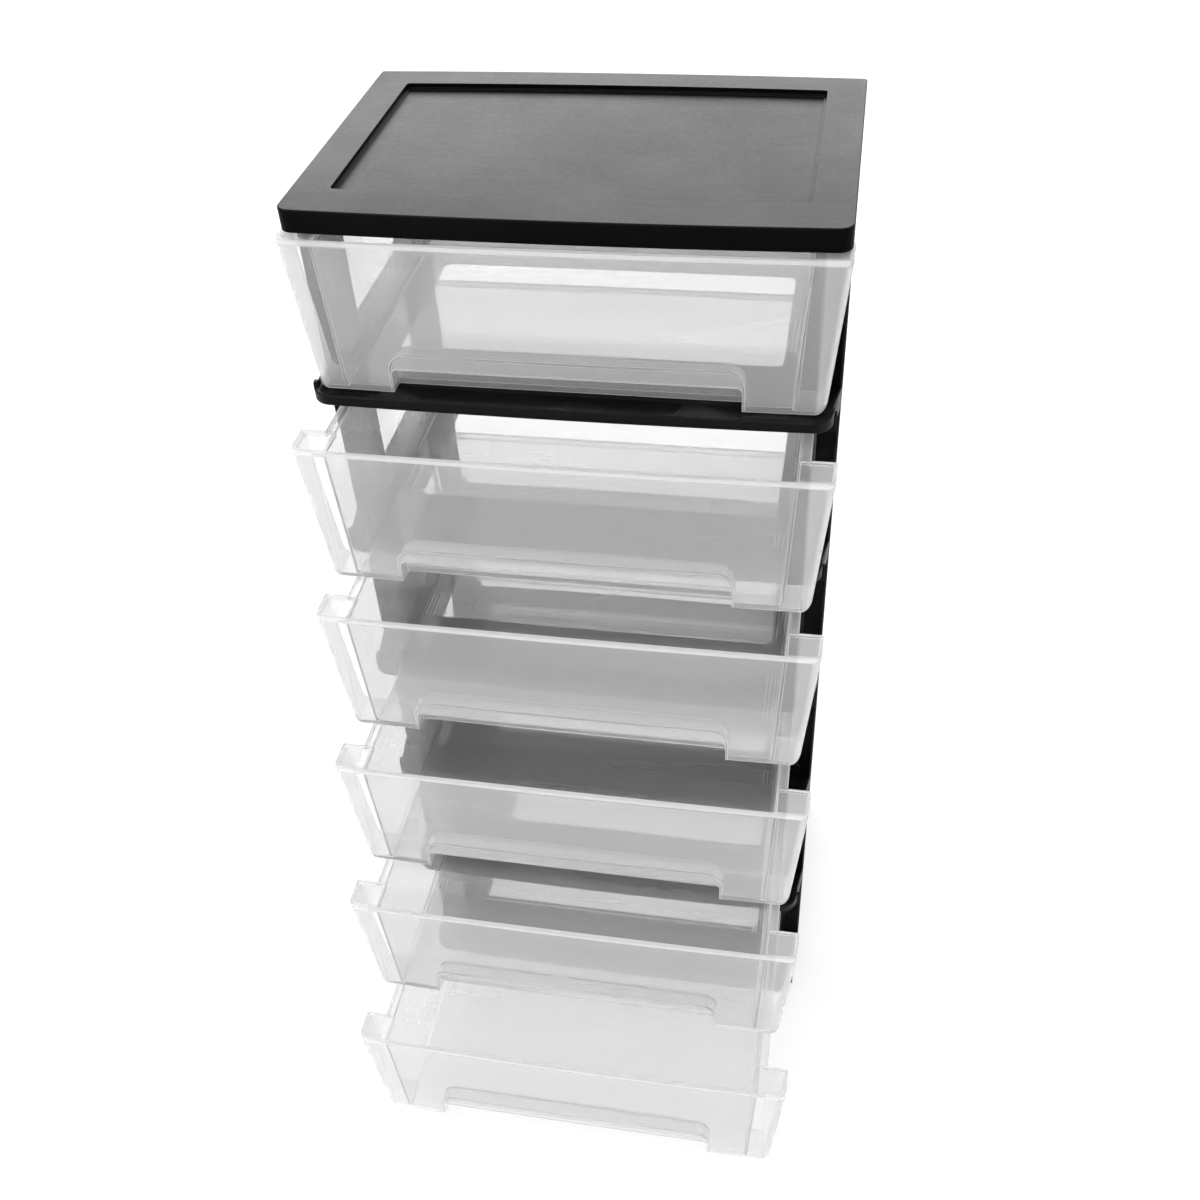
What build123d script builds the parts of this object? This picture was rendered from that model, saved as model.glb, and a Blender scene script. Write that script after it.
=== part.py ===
from build123d import *
import os

# Drawer tower: a cover, five shelf frames and a base frame stacked on hollow
# corner posts, with six sliding drawers.
#
# Millimetres. Each piece is drawn with Y = 0 at the cover's front corners, +Y to
# the rear and X = 0 in the middle plane. A frame is drawn with Z = 0 at its top
# face, a drawer with Z = 0 at the top face of the frame that carries it. The
# pieces are then put in place, and everything is moved so that the origin is the
# middle of the whole part's underside, with the drawers drawn out by OPENING.

# ------------------------------------------------------------ driving dimensions
WIDTH = 390.0            # cover and frames
DEPTH = 252.8            # cover and frames, between the front and rear corners
HALF = WIDTH / 2
FRONT_BOW = 3.8          # how far the middle of the cover's front stands out
REAR_BOW = 3.4

PITCH = 140.0            # from one level to the next
LEVELS = 6
FRAME_H = 18.0
POST_H = PITCH - FRAME_H
TOP_Z = FRAME_H + PITCH * (LEVELS - 1) + 136.0   # cover's top above the floor

COVER_H = 16.6
COVER_PANEL_SINK = 4.5
WALL = 2.5

LIP_HALF = 191.0         # half width of the front rail's lip
LIP_OUT = 17.5           # front rail's lip in front of the cover, at its ends
LIP_BOW = 2.8
LIP_H = 9.0
LIP_R = 15.0
TROUGH_R = 18.0          # dished top of the front rail
TROUGH_D = 2.3

OPEN_X = 151.5           # opening in a frame
OPEN_Y0 = 51.0
OPEN_Y1 = 218.5

POST_IN = 178.8          # inner face of a front post, from the middle
REAR_POST_IN = 177.0
POST_WALL = 2.2
SPIGOT_GAP = 0.25

BOSS_X, BOSS_Y, BOSS_R, BOSS_H = 86.0, 37.0, 3.5, 1.8

# drawer
RIM_Z = 117.4            # top rim above the frame
FOOT_Z = 0.6
FRONT_Y = -8.5           # outer front face, closed
FRONT_DRAWER_BOW = 2.2
CHEEK_Y = 19.5           # rear edge of the front's side cheeks, closed
FRONT_TOP = 196.6        # half width of the front at the rim
FRONT_BOT = 185.2        # and at its feet
FRONT_WALL = 2.2
SHEET = 1.8              # floor and walls
TUB_TOP, TUB_BOT = 171.0, 165.0
TUB_Y_TOP, TUB_Y_BOT = 242.5, 240.0
FLOOR_Z = 2.6
FLANGE_FRONT, FLANGE_REAR, FLANGE_Y = 178.0, 176.2, 250.0
GRIP_X, GRIP_Z, GRIP_Y = 127.0, 29.7, 2.7            # finger recess
GRIP_LIP_Z = 19.7        # lower edge of the front that hangs before the recess

OPENING = (0.0, 50.0, 76.0, 109.0, 147.0, 194.5)     # drawers 1 to 6
TRAVEL = 197.0

# origin: middle of the whole box, drawers drawn out as above
BOX_Y0 = FRONT_Y - FRONT_DRAWER_BOW - max(OPENING)
BOX_Y1 = DEPTH + REAR_BOW
SHIFT_Y = -(BOX_Y0 + BOX_Y1) / 2
UP = (0, 0, 1)


# ------------------------------------------------------------ helpers
def plan(half, y0, y1, bow0=0.0, bow1=0.0, r0=0.0, r1=0.0):
    """Outline seen from above, with bowed front and rear and rounded corners."""
    a, b, c, d = (-half, y0), (half, y0), (half, y1), (-half, y1)
    front = ThreePointArc(a, (0, y0 - bow0), b) if bow0 else Line(a, b)
    rear = ThreePointArc(c, (0, y1 + bow1), d) if bow1 else Line(c, d)
    face = make_face([front, Line(b, c), rear, Line(d, a)])
    if r0:
        face = fillet(face.vertices().sort_by(Axis.Y)[:2], r0)
    if r1:
        face = fillet(face.vertices().sort_by(Axis.Y)[-2:], r1)
    return face


def frame_plan(inset=0.0, r_rear=3.0):
    """Outline of a frame: its sides run in a little towards the front rail's rounded ends."""
    e, f = HALF - 0.2 - inset, LIP_HALF - inset
    y0, y1 = -LIP_OUT + inset, DEPTH - inset
    edges = [ThreePointArc((-f, y0), (0, y0 - LIP_BOW), (f, y0)), Line((f, y0), (f, 6)), Line((f, 6), (e, 31)), Line((e, 31), (e, y1)),
             ThreePointArc((e, y1), (0, y1 + REAR_BOW), (-e, y1)), Line((-e, y1), (-e, 31)), Line((-e, 31), (-f, 6)), Line((-f, 6), (-f, y0))]
    face = make_face(edges)
    face = fillet(face.vertices().sort_by(Axis.Y)[:2], LIP_R - inset)
    return fillet(face.vertices().sort_by(Axis.Y)[-2:], r_rear)


def prism(face, z0, z1):
    return extrude(Pos(0, 0, z0) * face, amount=z1 - z0, dir=UP)


def block(x0, x1, y0, y1, z0, z1):
    return Pos((x0 + x1) / 2, (y0 + y1) / 2, (z0 + z1) / 2) * Box(x1 - x0, y1 - y0, z1 - z0)


def poly(points, r=0.0):
    face = make_face(Polyline(*points, close=True))
    return fillet(face.vertices(), r) if r else face


def frustum(f0, z0, f1, z1):
    return loft([Pos(0, 0, z0) * f0, Pos(0, 0, z1) * f1], ruled=True)


def profile_xz(half0, z0, half1, z1, r, y0, y1, top=False):
    """Prism along Y of a trapezoid with two rounded corners, seen from the front."""
    face = make_face(Polyline((-half0, z0), (half0, z0), (half1, z1), (-half1, z1), close=True))
    if r:
        v = face.vertices().sort_by(Axis.Y)
        face = fillet(v[-2:] if top else v[:2], r)
    return extrude(Pos(0, y0, 0) * (Plane.XZ * face), amount=y1 - y0, dir=(0, 1, 0))


def both(solid):
    return solid + mirror(solid, about=Plane.YZ)


# ------------------------------------------------------------ posts
FRONT_POST = [(-HALF, 27.0), (-POST_IN, 38.0), (-POST_IN, 71.0), (-HALF, 71.0)]
REAR_POST = [(-HALF, 211.0), (-REAR_POST_IN, 211.0), (-REAR_POST_IN, 252.0), (-HALF, 252.0)]


def post_face(points, grow=0.0):
    face = poly(points)
    if grow:
        face = offset(face, amount=grow, kind=Kind.INTERSECTION)
    return face


def make_post(points):
    outer = fillet(post_face(points).vertices(), 1.6)
    return prism(outer, 0, POST_H) - prism(post_face(points, -POST_WALL), -1, POST_H + 1)


def spigots(z0, z1):
    s = prism(post_face(FRONT_POST, -POST_WALL - SPIGOT_GAP), z0, z1)
    s += prism(post_face(REAR_POST, -POST_WALL - SPIGOT_GAP), z0, z1)
    return both(s)


def seats(z0, z1, grow=0.0):
    return both(prism(post_face(FRONT_POST, grow), z0, z1) + prism(post_face(REAR_POST, grow), z0, z1))


# ------------------------------------------------------------ cover, Z = 0 at its top
def make_cover():
    c = prism(plan(HALF, 0, DEPTH, FRONT_BOW, REAR_BOW, 10, 3), -COVER_H, 0)
    c = fillet(c.faces().sort_by(Axis.Z)[-1].edges(), 1.2)
    panel = plan(166.0, 34.5, 227.0, 3.2, 2.8, 3, 3)
    hollow = prism(plan(HALF - WALL, WALL, DEPTH - WALL, FRONT_BOW, REAR_BOW, 7.5, 1), -COVER_H - 1, -COVER_PANEL_SINK - WALL)
    rim = prism(plan(HALF - WALL, WALL, DEPTH - WALL, FRONT_BOW, REAR_BOW, 7.5, 1), -COVER_PANEL_SINK - WALL - 0.01, -WALL)
    rim -= prism(plan(166.0 + WALL, 34.5 - WALL, 227.0 + WALL, 3.2, 2.8, 5, 5), -COVER_H, 0)
    c -= hollow
    c -= rim
    c -= prism(panel, -COVER_PANEL_SINK, 1)
    # stepped edge inside the sunk panel
    c += prism(panel, -COVER_PANEL_SINK - 0.4, -COVER_PANEL_SINK + 0.9) - prism(plan(163.6, 36.9, 224.6, 3.2, 2.8, 2, 2), -COVER_H, 1)
    seat_z = FRAME_H + PITCH * (LEVELS - 1) + POST_H - TOP_Z
    keep = prism(plan(HALF - 0.5, 0.5, DEPTH - 0.5, FRONT_BOW, REAR_BOW, 9.5, 2.5), -30, 0)
    c += (seats(seat_z, -WALL + 0.5, 0.0) & keep)
    c -= seats(-30, seat_z, 0.12)
    c += spigots(seat_z - 9, seat_z + 0.5)
    # stiffening ribs under the panel
    for x in (-100.0, 0.0, 100.0):
        c += block(x - 1, x + 1, WALL - 0.5, DEPTH - WALL + 0.5, -COVER_H + 5, -COVER_PANEL_SINK - 1)
    return c


# ------------------------------------------------------------ frames, Z = 0 at the top
def make_frame(base=False):
    outline = frame_plan()
    inner = frame_plan(WALL, 1.0)
    main = plan(HALF - 0.2, 0, DEPTH, 0, REAR_BOW, 4, 3)
    f = prism(outline, -LIP_H, 0)
    f = fillet(f.faces().sort_by(Axis.Z)[-1].edges(), 1.0)
    f = fillet(f.faces().sort_by(Axis.Z)[0].edges().sort_by(Axis.Y)[0], 1.0)
    f += prism(main, -FRAME_H, -LIP_H + 1) & prism(outline, -40, 20)
    # hollow from below, deck 2.5 thick, 5 thick under the dished lip
    f -= prism(inner, -FRAME_H - 1, -5.0)
    f -= prism(plan(HALF - 0.2 - WALL, 1.0, DEPTH - WALL, 0, REAR_BOW, 1, 1), -5.01, -WALL)
    # wall under the front rail, and the wall round the opening
    f += block(-HALF + 2, HALF - 2, 0, WALL, -FRAME_H, -WALL + 0.5)
    f += prism(plan(OPEN_X + 2, OPEN_Y0 - 2, OPEN_Y1 + 2, r0=9, r1=9), -FRAME_H + 0.5, -1)
    # ribs across the rails
    for x in (-120.0, -60.0, 0.0, 60.0, 120.0):
        f += block(x - 1, x + 1, 1, OPEN_Y0, -FRAME_H + 6, -1)
        f += block(x - 1, x + 1, OPEN_Y1, DEPTH - 0.5, -FRAME_H + 6, -1)
    for y in (105.0, 165.0):
        f += both(block(-HALF + 1, -OPEN_X, y - 1, y + 1, -FRAME_H + 6, -1))
    # seats and spigots for the posts
    f += seats(-FRAME_H, -1) & prism(outline, -40, 20)
    f -= prism(plan(OPEN_X, OPEN_Y0, OPEN_Y1, r0=7, r1=7), -FRAME_H - 1, 1)
    f += spigots(-1, 12)
    if not base:
        f += spigots(-FRAME_H - 9, -FRAME_H + 0.5)
    # faceted collar round the foot of each post
    ring = prism(post_face(FRONT_POST, 4.0), -0.5, 9.0) & block(-HALF + 0.2, -172.2, 34, 76, -1, 20)
    ring = chamfer(ring.faces().sort_by(Axis.Z)[-1].edges().filter_by(lambda e: e.center().X > -HALF + 0.4), 2.4)
    ring += prism(post_face(REAR_POST, 3.6), -0.5, 7.0) & block(-HALF + 0.2, -172.2, 200, DEPTH - 0.2, -1, 20)
    ring -= prism(post_face(FRONT_POST, 0.15), 0, 20)
    ring -= prism(post_face(REAR_POST, 0.15), 0, 20)
    f += both(ring)
    # raised guard behind the lip's rounded end
    guard = make_face(Polyline((0.0, -0.6), (-2.0, 2.8), (-5.5, 2.8), (-12.0, -0.6), close=True))
    guard = extrude(Pos(-LIP_HALF, 0, 0) * (Plane.YZ * guard), amount=3.8, dir=(1, 0, 0))
    guard &= prism(outline, -1, 12)
    # low bead along the inner edge of the front ledge
    f += block(-146.0, 146.0, OPEN_Y0 - 2.0, OPEN_Y0 - 0.2, -0.5, 0.7)
    f += both(guard)
    # dished top of the front rail
    y_mid = -LIP_OUT / 2 + 0.6
    zc = TROUGH_R - TROUGH_D
    path = ThreePointArc((-176.0, y_mid, zc), (0, y_mid - LIP_BOW * 0.9, zc), (176.0, y_mid, zc))
    tube = sweep(Plane(origin=path @ 0, z_dir=path % 0) * Circle(TROUGH_R), path=path)
    tube += Pos(-176.0, y_mid, zc) * Sphere(TROUGH_R)
    tube += Pos(176.0, y_mid, zc) * Sphere(TROUGH_R)
    f -= tube
    # stop bosses for the drawer's rear wall
    boss = Pos(BOSS_X, BOSS_Y, 0) * Cylinder(BOSS_R, BOSS_H + 0.5, align=(Align.CENTER, Align.CENTER, Align.MIN))
    boss = Pos(0, 0, -0.5) * boss
    boss = fillet(boss.faces().sort_by(Axis.Z)[-1].edges(), 0.8)
    f += both(boss)
    return f


# ------------------------------------------------------------ drawer, closed, Z = 0 at the frame's top
def make_drawer():
    bow = FRONT_DRAWER_BOW
    rear = 60.0
    # front with its cheeks and hanging feet
    outer = frustum(plan(FRONT_BOT, FRONT_Y, CHEEK_Y, bow, r0=8), FOOT_Z, plan(FRONT_TOP, FRONT_Y, CHEEK_Y, bow, r0=8), RIM_Z)
    outer &= profile_xz(FRONT_BOT + 0.05, FOOT_Z, FRONT_TOP + 0.05, RIM_Z, 9.0, -30, rear)
    slope = (FRONT_TOP - FRONT_BOT) / (RIM_Z - FOOT_Z)
    inner = frustum(plan(FRONT_BOT - 2.0, FRONT_Y + FRONT_WALL, rear, bow, r0=6), FOOT_Z,
                    plan(FRONT_TOP - 2.0, FRONT_Y + FRONT_WALL, rear, bow, r0=6), RIM_Z)
    inner &= profile_xz(FRONT_BOT - 1.95 + 2.0 * slope, FOOT_Z + 2.0, FRONT_TOP - 1.95, RIM_Z + 0.01, 7.0, -30, rear + 1)
    d = outer - inner
    # web that closes the top of each cheek, sunk a little, and its raised rear edge
    web = outer & block(-210, 210, -30, rear, RIM_Z - 4.2, RIM_Z - 2.2)
    ridge = outer & block(-210, 210, CHEEK_Y - 1.9, CHEEK_Y, RIM_Z - 4.2, RIM_Z)
    bead = (outer & block(-210, 210, -30, rear, RIM_Z - 3.2, RIM_Z)) - prism(plan(FRONT_TOP - 2.6, FRONT_Y + 3.8, rear, bow, r0=4), 0, 200)
    d += web + ridge + bead
    # tub
    tub = frustum(plan(TUB_BOT, FRONT_Y + 1.0, TUB_Y_BOT, bow, r1=8), FLOOR_Z, plan(TUB_TOP, FRONT_Y + 1.0, TUB_Y_TOP, bow, r1=10), RIM_Z)
    tub = fillet(tub.edges().filter_by(lambda e: e.center().Z < FLOOR_Z + 0.01 and e.center().Y > 5), 3.5)
    # flange with a turned-down edge, round the sides and the rear
    edge = make_face(Polyline((-FLANGE_FRONT, CHEEK_Y - 1.0), (FLANGE_FRONT, CHEEK_Y - 1.0), (FLANGE_REAR, FLANGE_Y), (-FLANGE_REAR, FLANGE_Y), close=True))
    edge = fillet(edge.vertices().sort_by(Axis.Y)[-2:], 12)
    under = make_face(Polyline((-FLANGE_FRONT + 1.6, CHEEK_Y - 1.0), (FLANGE_FRONT - 1.6, CHEEK_Y - 1.0), (FLANGE_REAR - 1.6, FLANGE_Y - 1.6), (-FLANGE_REAR + 1.6, FLANGE_Y - 1.6), close=True))
    under = fillet(under.vertices().sort_by(Axis.Y)[-2:], 10.4)
    flange = prism(edge, RIM_Z - 5.5, RIM_Z)
    flange = fillet(flange.faces().sort_by(Axis.Z)[-1].edges().filter_by(lambda e: e.center().Y > CHEEK_Y), 0.6)
    flange -= prism(under, RIM_Z - 10, RIM_Z - 1.8)
    cavity = frustum(plan(TUB_BOT - SHEET, FRONT_Y + FRONT_WALL, TUB_Y_BOT - SHEET, bow, r1=6.2), FLOOR_Z + SHEET,
                     plan(TUB_TOP - SHEET, FRONT_Y + FRONT_WALL, TUB_Y_TOP - SHEET, bow, r1=8.2), RIM_Z + 0.4)
    cavity = fillet(cavity.edges().filter_by(lambda e: e.center().Z < FLOOR_Z + SHEET + 0.01 and e.center().Y > 5), 3.0)
    bead2 = (tub & block(-210, 210, -30, 20, RIM_Z - 3.2, RIM_Z)) - prism(plan(300, FRONT_Y + 3.8, rear, bow), 0, 200)
    d += tub + flange
    d -= cavity
    d += bead2
    # finger recess under the front
    pocket = profile_xz(GRIP_X + SHEET, 1.0, GRIP_X + SHEET, GRIP_Z + SHEET, 13.5, -30, GRIP_Y + SHEET, top=True)
    pocket &= prism(plan(250, FRONT_Y, rear, bow), -5, 60)
    d += pocket
    recess = profile_xz(GRIP_X, -5.0, GRIP_X, GRIP_Z, 12.0, -30, GRIP_Y, top=True)
    d -= recess & prism(plan(250, FRONT_Y + FRONT_WALL, rear, bow), -6, 60)
    d -= profile_xz(GRIP_X, -5.0, GRIP_X, GRIP_LIP_Z, 4.5, -30, -2.0, top=True)
    # runner ribs under the floor, and the bottom edge of the rear wall
    for x in (154.3, 160.9):
        rib = Pos(x, 123.0, 0) * (Rot(0, 0, 90) * SlotOverall(226.0, 3.0))
        d += both(prism(rib, 0.5, FLOOR_Z + 0.6))
    d += block(-150, 150, TUB_Y_BOT - SHEET + 0.05, TUB_Y_BOT - 0.05, 1.0, FLOOR_Z + 0.6)
    return d


# ------------------------------------------------------------ put together
def place(solid, z, y=0.0):
    return Pos(0, y + SHIFT_Y, z) * solid


os.makedirs("parts", exist_ok=True)


def write(solid, name):
    solids = solid.solids()
    shape = solids[0] if len(solids) == 1 else Compound(children=list(solids))
    if len(solids) != 1:
        print("note:", name, "has", len(solids), "solids")
    export_step(shape, "parts/" + name + ".step")


cover = make_cover()
write(place(cover, TOP_Z), "top_cover")

shelf = make_frame()
for n in range(1, LEVELS):
    write(place(shelf, FRAME_H + PITCH * (LEVELS - n)), "shelf_frame_%d" % n)
write(place(make_frame(base=True), FRAME_H), "base_frame")

front_left = make_post(FRONT_POST)
rear_left = make_post(REAR_POST)
for n in range(1, LEVELS + 1):
    z = FRAME_H + PITCH * (LEVELS - n)
    write(place(front_left, z), "post_%d_front_left" % n)
    write(place(mirror(front_left, about=Plane.YZ), z), "post_%d_front_right" % n)
    write(place(rear_left, z), "post_%d_rear_left" % n)
    write(place(mirror(rear_left, about=Plane.YZ), z), "post_%d_rear_right" % n)

drawer = make_drawer()
for n in range(1, LEVELS + 1):
    write(place(drawer, FRAME_H + PITCH * (LEVELS - n), -OPENING[n - 1]), "drawer_%d" % n)
print("shift", SHIFT_Y, "box", BOX_Y0, BOX_Y1)
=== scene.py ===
import math
import bpy
from mathutils import Matrix, Vector


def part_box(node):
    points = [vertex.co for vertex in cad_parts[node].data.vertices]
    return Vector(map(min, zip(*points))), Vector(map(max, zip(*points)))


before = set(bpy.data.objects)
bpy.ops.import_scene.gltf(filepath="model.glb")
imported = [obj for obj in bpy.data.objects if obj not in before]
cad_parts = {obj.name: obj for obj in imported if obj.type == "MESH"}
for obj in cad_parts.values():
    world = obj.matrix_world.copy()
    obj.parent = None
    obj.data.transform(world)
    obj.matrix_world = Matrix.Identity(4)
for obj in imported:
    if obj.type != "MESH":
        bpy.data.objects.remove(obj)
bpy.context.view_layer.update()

scene = bpy.context.scene

FRAME_H, PITCH, LEVELS = 0.018, 0.140, 6
SHIFT = -0.0255


# ------------------------------------------------------------------ node helpers
def new_material(name):
    mat = bpy.data.materials.new(name)
    mat.use_nodes = True
    nt = mat.node_tree
    nt.nodes.clear()
    out = nt.nodes.new("ShaderNodeOutputMaterial")
    return mat, nt, out


def node(nt, kind, inputs=None, **props):
    n = nt.nodes.new(kind)
    for key, value in props.items():
        setattr(n, key, value)
    for key, value in (inputs or {}).items():
        if isinstance(value, bpy.types.NodeSocket):
            nt.links.new(value, n.inputs[key])
        else:
            n.inputs[key].default_value = value
    return n


def maths(nt, op, a, b=None, c=None, clamp=False):
    n = nt.nodes.new("ShaderNodeMath")
    n.operation = op
    n.use_clamp = clamp
    for i, value in enumerate((a, b, c)):
        if value is None:
            continue
        if isinstance(value, bpy.types.NodeSocket):
            nt.links.new(value, n.inputs[i])
        else:
            n.inputs[i].default_value = value
    return n.outputs[0]


def ramp(nt, value, lo, hi, to_lo=0.0, to_hi=1.0, smooth=False):
    n = node(nt, "ShaderNodeMapRange", {"Value": value, "From Min": lo, "From Max": hi, "To Min": to_lo, "To Max": to_hi})
    if smooth:
        n.interpolation_type = "SMOOTHSTEP"
    return n.outputs["Result"]


def noise(nt, vector, scale, detail=3.0, rough=0.5):
    return node(nt, "ShaderNodeTexNoise", {"Vector": vector, "Scale": scale, "Detail": detail, "Roughness": rough}).outputs["Fac"]


def stretched(nt, vector, scale):
    return node(nt, "ShaderNodeMapping", {"Vector": vector, "Scale": scale}).outputs["Vector"]


def mix_colour(nt, fac, a, b):
    n = nt.nodes.new("ShaderNodeMix")
    n.data_type = "RGBA"
    for i, value in ((0, fac), (6, a), (7, b)):
        if isinstance(value, bpy.types.NodeSocket):
            nt.links.new(value, n.inputs[i])
        else:
            n.inputs[i].default_value = value
    return n.outputs[2]


def edge_mask(nt, radius, samples=4):
    """1 on the sharp edges of a solid, 0 on its flats."""
    bevel = node(nt, "ShaderNodeBevel", {"Radius": radius}, samples=samples)
    geo = nt.nodes.new("ShaderNodeNewGeometry")
    dot = node(nt, "ShaderNodeVectorMath", {0: bevel.outputs[0], 1: geo.outputs["True Normal"]}, operation="DOT_PRODUCT")
    return ramp(nt, dot.outputs["Value"], 0.995, 0.80), bevel.outputs[0]


# ------------------------------------------------------------------ black frame plastic
def black_plastic(name, streaks_and_wall_shade=False):
    mat, nt, out = new_material(name)
    obj = nt.nodes.new("ShaderNodeTexCoord").outputs["Object"]
    edge_highlight, bevelled = edge_mask(nt, 0.0009)
    cloud = noise(nt, obj, 9.0, 4.0, 0.6)
    grain = noise(nt, obj, 1500.0, 2.0, 0.6)
    dust = noise(nt, obj, 240.0, 5.0, 0.7)
    # long, fine marks from the mould run along the width
    flow = noise(nt, stretched(nt, obj, (5.0, 420.0, 420.0)), 1.0, 3.0, 0.6)
    base = mix_colour(nt, ramp(nt, cloud, 0.3, 0.7), (0.0020, 0.0020, 0.0021, 1), (0.0038, 0.0038, 0.0039, 1))
    base = mix_colour(nt, ramp(nt, dust, 0.66, 0.80, 0.0, 0.25), base, (0.03, 0.03, 0.03, 1))
    # painted highlight: the sharp edges are painted a lighter grey (0.045)
    base = mix_colour(nt, maths(nt, "MULTIPLY", edge_highlight, 0.55), base, (0.045, 0.045, 0.047, 1))
    rough = ramp(nt, cloud, 0.3, 0.7, 0.33, 0.41)
    rough = maths(nt, "ADD", rough, ramp(nt, dust, 0.3, 0.7, -0.03, 0.04))
    rough = maths(nt, "ADD", rough, ramp(nt, flow, 0.35, 0.65, -0.010, 0.012))
    bump = node(nt, "ShaderNodeBump", {"Height": grain, "Strength": 0.10, "Distance": 0.0003, "Normal": bevelled})
    bump2 = node(nt, "ShaderNodeBump", {"Height": flow, "Strength": 0.10 if streaks_and_wall_shade else 0.06, "Distance": 0.00025, "Normal": bump.outputs[0]})
    shader = node(nt, "ShaderNodeBsdfPrincipled", {"Base Color": base, "Roughness": rough, "Normal": bump2.outputs[0], "IOR": 1.20, "Specular IOR Level": 0.5})
    if streaks_and_wall_shade:
        # painted shade: the cover's walls get a weaker reflection (IOR 1.09) than its flat top (IOR 1.20), so they
        # render darker
        up = node(nt, "ShaderNodeSeparateXYZ", {"Vector": nt.nodes.new("ShaderNodeNewGeometry").outputs["True Normal"]}).outputs["Z"]
        shaded_wall_shader = node(nt, "ShaderNodeBsdfPrincipled", {"Base Color": base, "Roughness": rough, "Normal": bump2.outputs[0], "IOR": 1.09, "Specular IOR Level": 0.5})
        shader = node(nt, "ShaderNodeMixShader", {0: ramp(nt, up, 0.25, 0.75), 1: shaded_wall_shader.outputs[0], 2: shader.outputs[0]})
    nt.links.new(shader.outputs[0], out.inputs["Surface"])
    return mat


# ------------------------------------------------------------------ milky drawer plastic
def milky_plastic(name, front):
    """front is the drawer's front face, along Y."""
    mat, nt, out = new_material(name)
    obj = nt.nodes.new("ShaderNodeTexCoord").outputs["Object"]
    edge_highlight, bevelled = edge_mask(nt, 0.0014)
    cloud = noise(nt, obj, 6.0, 4.0, 0.55)
    waves = noise(nt, stretched(nt, obj, (7.0, 16.0, 16.0)), 1.0, 1.5, 0.45)
    haze_marks = noise(nt, stretched(nt, obj, (3.0, 9.0, 9.0)), 1.0, 3.0, 0.5)
    fine = noise(nt, obj, 900.0, 2.0, 0.5)
    scuff = noise(nt, stretched(nt, obj, (40.0, 260.0, 260.0)), 1.0, 2.0, 0.5)
    # height within a drawer: its thick top bead scatters more light
    place_xyz = node(nt, "ShaderNodeSeparateXYZ", {"Vector": obj})
    h = maths(nt, "FLOORED_MODULO", maths(nt, "SUBTRACT", place_xyz.outputs["Z"], FRAME_H), PITCH)
    bead = maths(nt, "MULTIPLY", ramp(nt, h, 0.1134, 0.1150, 0.0, 1.0), ramp(nt, place_xyz.outputs["Y"], front + 0.0052, front + 0.0036))
    # painted light: every horizontal face gets extra white haze to brighten the shaded insides of the drawers, varying
    # in long wavy bands of denser and clearer plastic from the floor's moulding flow
    flat_face_brightening = ramp(nt, node(nt, "ShaderNodeMath", {0: node(nt, "ShaderNodeSeparateXYZ", {"Vector": nt.nodes.new("ShaderNodeNewGeometry").outputs["True Normal"]}).outputs["Z"]}, operation="ABSOLUTE").outputs[0], 0.8, 0.95)
    bands = noise(nt, stretched(nt, obj, (3.0, 24.0, 24.0)), 1.0, 0.0, 0.5)
    rough = ramp(nt, cloud, 0.3, 0.7, 0.010, 0.022)
    rough = maths(nt, "ADD", rough, ramp(nt, scuff, 0.50, 0.90, 0.0, 0.012))
    bump = node(nt, "ShaderNodeBump", {"Height": waves, "Strength": 0.02, "Distance": 0.0005})
    skin = node(nt, "ShaderNodeBump", {"Height": fine, "Strength": 0.04, "Distance": 0.0002, "Normal": bump.outputs[0]})
    clear = node(nt, "ShaderNodeBsdfPrincipled", {"Base Color": (0.995, 0.996, 0.998, 1), "Roughness": rough, "Normal": bump.outputs[0],
                                                  "IOR": 1.30, "Transmission Weight": 1.0})
    white = node(nt, "ShaderNodeBsdfDiffuse", {"Color": (0.975, 0.977, 0.980, 1), "Roughness": 0.0, "Normal": skin.outputs[0]})
    glow = node(nt, "ShaderNodeBsdfTranslucent", {"Color": (0.975, 0.977, 0.980, 1), "Normal": skin.outputs[0]})
    haze = node(nt, "ShaderNodeMixShader", {0: 0.45, 1: white.outputs[0], 2: glow.outputs[0]})
    amount = ramp(nt, haze_marks, 0.3, 0.7, 0.212, 0.248)
    amount = maths(nt, "ADD", amount, maths(nt, "MULTIPLY", flat_face_brightening, ramp(nt, bands, 0.25, 0.75, 0.010, 0.070)))
    # the hollow cheeks at both ends of the front are double walled and look denser
    side = ramp(nt, maths(nt, "ABSOLUTE", place_xyz.outputs["X"]), 0.1770, 0.1800)
    cheek = maths(nt, "MULTIPLY", side, ramp(nt, place_xyz.outputs["Y"], front + 0.0305, front + 0.0290))
    amount = maths(nt, "ADD", amount, maths(nt, "MULTIPLY", cheek, 0.17))
    amount = maths(nt, "ADD", amount, ramp(nt, scuff, 0.50, 0.90, 0.0, 0.012))
    # painted highlight: the edges get extra white haze, and the thick top bead gets denser haze
    amount = maths(nt, "ADD", amount, maths(nt, "MULTIPLY", maths(nt, "MAXIMUM", edge_highlight, maths(nt, "MULTIPLY", bead, 0.85)), 0.60), clamp=True)
    both = node(nt, "ShaderNodeMixShader", {0: amount, 1: clear.outputs[0], 2: haze.outputs[0]})
    nt.links.new(both.outputs[0], out.inputs["Surface"])
    return mat


black = black_plastic("frame_black_plastic")
black_cover = black_plastic("cover_black_plastic", streaks_and_wall_shade=True)
milky = {name: milky_plastic(name + "_milky_plastic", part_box(name)[0][1]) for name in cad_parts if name.startswith("drawer")}


def give(obj, mat):
    for slot in obj.material_slots:
        slot.material = mat
    if not obj.material_slots:
        obj.data.materials.append(mat)


for name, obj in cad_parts.items():
    give(obj, milky[name] if name in milky else black_cover if name == "top_cover" else black)


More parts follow.
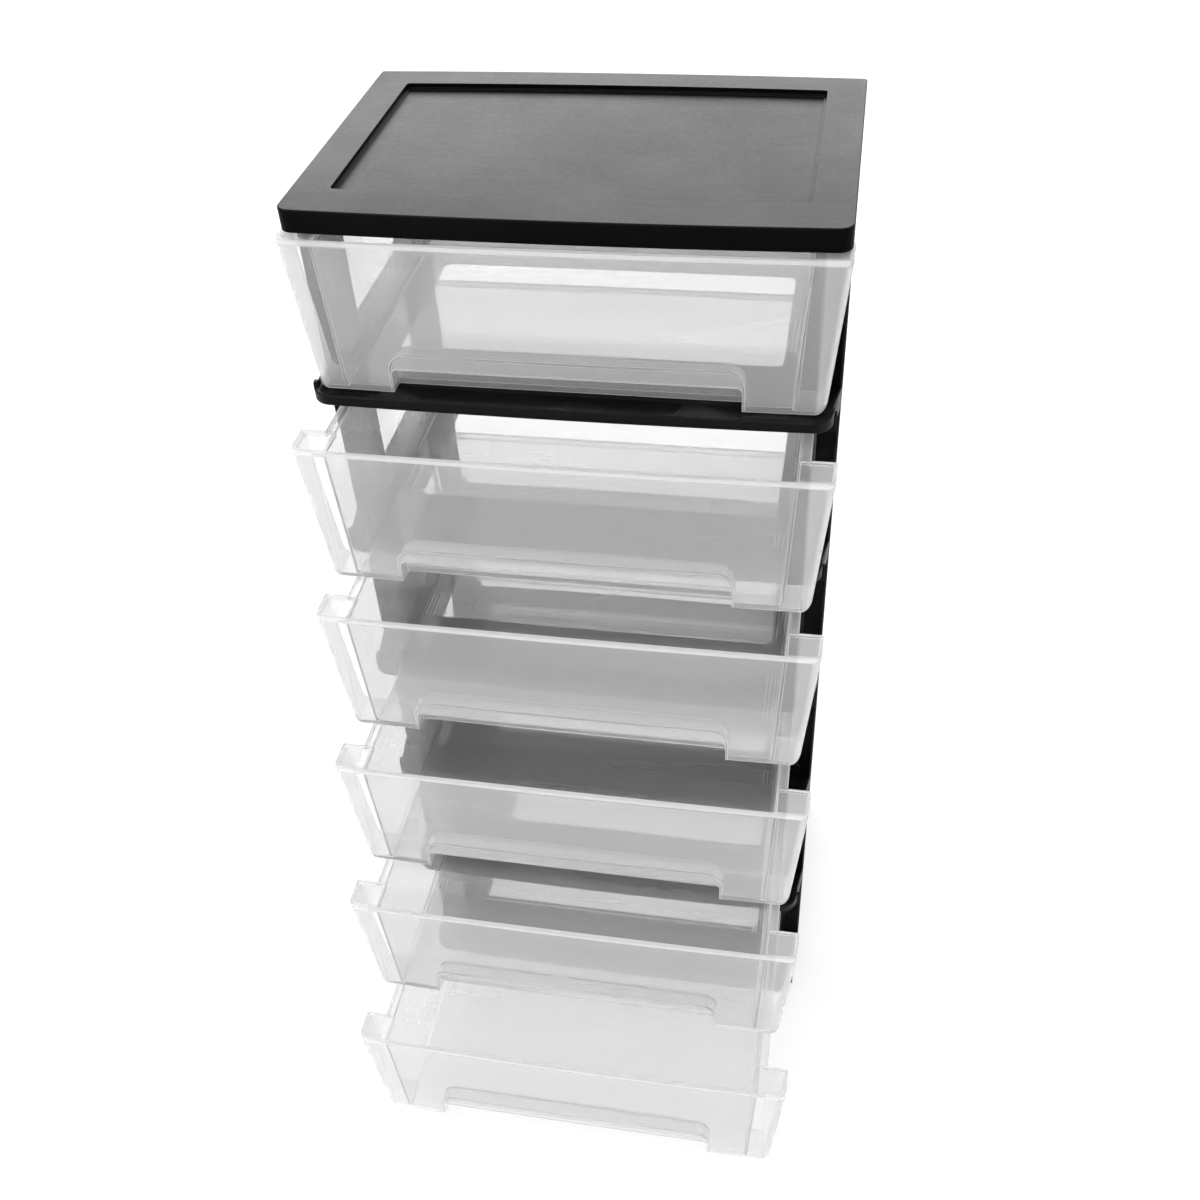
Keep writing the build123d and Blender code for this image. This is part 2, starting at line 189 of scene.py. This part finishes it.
# ------------------------------------------------------------------ floor
mat, nt, out = new_material("pale_floor")
coord = nt.nodes.new("ShaderNodeTexCoord").outputs["Object"]
tone = mix_colour(nt, noise(nt, coord, 2.0, 5.0, 0.6), (0.38, 0.38, 0.38, 1), (0.42, 0.42, 0.42, 1))
shader = node(nt, "ShaderNodeBsdfPrincipled", {"Base Color": tone, "Roughness": ramp(nt, noise(nt, coord, 30.0, 3.0), 0.3, 0.7, 0.62, 0.72), "Specular IOR Level": 0.25,
                                               "Emission Color": (1.0, 1.0, 1.0, 1), "Emission Strength": 0.66})
nt.links.new(shader.outputs[0], out.inputs["Surface"])
mesh = bpy.data.meshes.new("floor")
S = 9.0
mesh.from_pydata([(-S, -S, 0), (S, -S, 0), (S, S, 0), (-S, S, 0)], [], [(0, 1, 2, 3)])
floor = bpy.data.objects.new("floor", mesh)
floor.location.z = -0.0003
floor.data.materials.append(mat)
scene.collection.objects.link(floor)


# ------------------------------------------------------------------ light
world = bpy.data.worlds.new("studio")
scene.world = world
world.use_nodes = True
wt = world.node_tree
wt.nodes.clear()
wout = wt.nodes.new("ShaderNodeOutputWorld")
back = node(wt, "ShaderNodeBackground", {"Color": (1.0, 1.0, 1.0, 1), "Strength": 0.78})
wt.links.new(back.outputs[0], wout.inputs["Surface"])


def softbox(name, place, aim, size_x, size_y, watts):
    light = bpy.data.lights.new(name, "AREA")
    light.shape = "RECTANGLE"
    light.size, light.size_y, light.energy = size_x, size_y, watts
    ob = bpy.data.objects.new(name, light)
    ob.location = place
    ob.rotation_euler = (Vector(aim) - Vector(place)).to_track_quat("-Z", "Y").to_euler()
    scene.collection.objects.link(ob)


softbox("key", (-1.1, -2.2, 2.3), (0, 0, 0.4), 3.4, 2.6, 44.0)
softbox("back", (-0.20, 2.4, 1.95), (0, 0, 0.8), 3.0, 1.5, 66.0)


# ------------------------------------------------------------------ camera
# right, up and backward directions, and place, in the part's frame
turn = Vector((2.294, 0.1786, -0.150))
angle = turn.length
rot = Matrix.Rotation(angle, 3, turn.normalized())       # from the part's frame to right, down, forward
W = 0.390
shift_t = Vector((-0.5702, -0.6799, 2.3346))
centre = -(rot.transposed() @ shift_t)
place = Vector(((centre.x - 0.5) * W, centre.y * W + SHIFT, centre.z * W + 0.854))
right, down, ahead = Vector(rot[0]), Vector(rot[1]), Vector(rot[2])
cam = bpy.data.cameras.new("camera")
cam.sensor_width = 36.0
cam.lens = 1341.26 / 1200.0 * 36.0
cam.clip_start, cam.clip_end = 0.01, 50.0
camera = bpy.data.objects.new("camera", cam)
basis = Matrix((right, -down, -ahead)).transposed().to_4x4()
camera.matrix_world = Matrix.Translation(place) @ basis
scene.collection.objects.link(camera)
scene.camera = camera

# the light passes many thin walls
scene.cycles.max_bounces = 24
scene.cycles.diffuse_bounces = 8
scene.cycles.glossy_bounces = 6
scene.cycles.transmission_bounces = 24
scene.cycles.caustics_reflective = True
scene.cycles.caustics_refractive = True

scene.view_settings.view_transform = "Standard"
scene.view_settings.look = "None"

bpy.context.view_layer.update()
